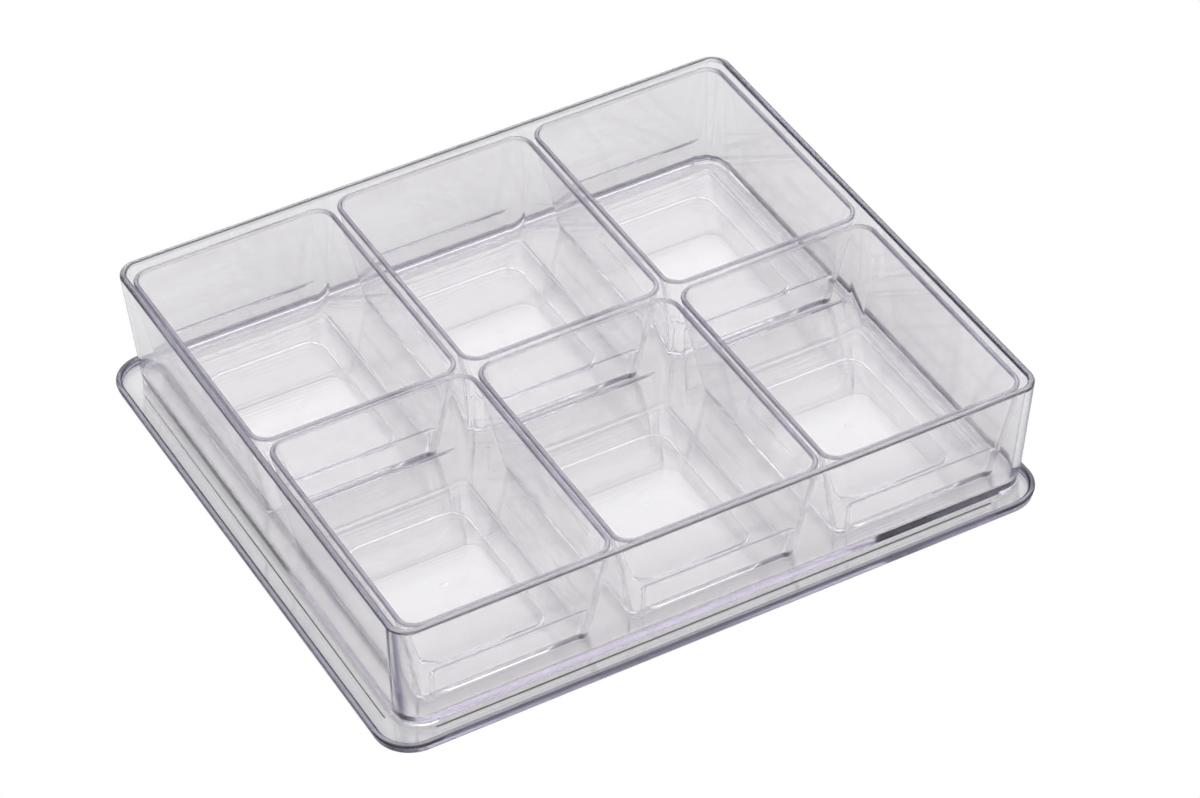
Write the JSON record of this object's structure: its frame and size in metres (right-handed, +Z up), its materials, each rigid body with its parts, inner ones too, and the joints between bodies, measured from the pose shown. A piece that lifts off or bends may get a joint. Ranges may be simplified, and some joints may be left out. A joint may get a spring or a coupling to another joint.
{
  "type": "bar garnish tray",
  "caption": "Clear plastic box for cut bar garnishes: lift-out open cups stand in rows in a deep drafted tray, which stands in its own shallow lid turned over as a drip tray.",
  "frame": {"origin": "middle of the lid's flat underside, on the surface that the object stands on", "axes": "+X along the long side, towards the right-hand cups; +Y along the short side, from the front row to the back row; +Z up"},
  "size_m": [0.3096, 0.2776, 0.059],
  "materials": {
    "lid_plastic": "clear transparent moulded plastic, glossy, with a faint violet tint at its edges",
    "tray_plastic": "clear transparent moulded plastic, glossy, with a faint violet tint at its edges",
    "cup_plastic": "clear transparent moulded plastic, glossy, with a faint violet tint at its edges"
  },
  "bodies": {
    "under_tray": {"under_tray": "lid_plastic"},
    "outer_tray": {"outer_tray": "tray_plastic"},
    "cup_front_left": {"cup_front_left": "cup_plastic"},
    "cup_front_middle": {"cup_front_middle": "cup_plastic"},
    "cup_front_right": {"cup_front_right": "cup_plastic"},
    "cup_back_left": {"cup_back_left": "cup_plastic"},
    "cup_back_middle": {"cup_back_middle": "cup_plastic"},
    "cup_back_right": {"cup_back_right": "cup_plastic"}
  },
  "joints": [
    {"name": "outer_tray_lift", "type": "slide", "parent": "under_tray", "child": "outer_tray", "axis": [0, 0, 1], "range_m": [0, 0.07]},
    {"name": "cup_front_left_lift", "type": "slide", "parent": "outer_tray", "child": "cup_front_left", "axis": [0, 0, 1], "range_m": [0, 0.07]},
    {"name": "cup_front_middle_lift", "type": "slide", "parent": "outer_tray", "child": "cup_front_middle", "axis": [0, 0, 1], "range_m": [0, 0.07]},
    {"name": "cup_front_right_lift", "type": "slide", "parent": "outer_tray", "child": "cup_front_right", "axis": [0, 0, 1], "range_m": [0, 0.07]},
    {"name": "cup_back_left_lift", "type": "slide", "parent": "outer_tray", "child": "cup_back_left", "axis": [0, 0, 1], "range_m": [0, 0.07]},
    {"name": "cup_back_middle_lift", "type": "slide", "parent": "outer_tray", "child": "cup_back_middle", "axis": [0, 0, 1], "range_m": [0, 0.07]},
    {"name": "cup_back_right_lift", "type": "slide", "parent": "outer_tray", "child": "cup_back_right", "axis": [0, 0, 1], "range_m": [0, 0.07]}
  ]
}
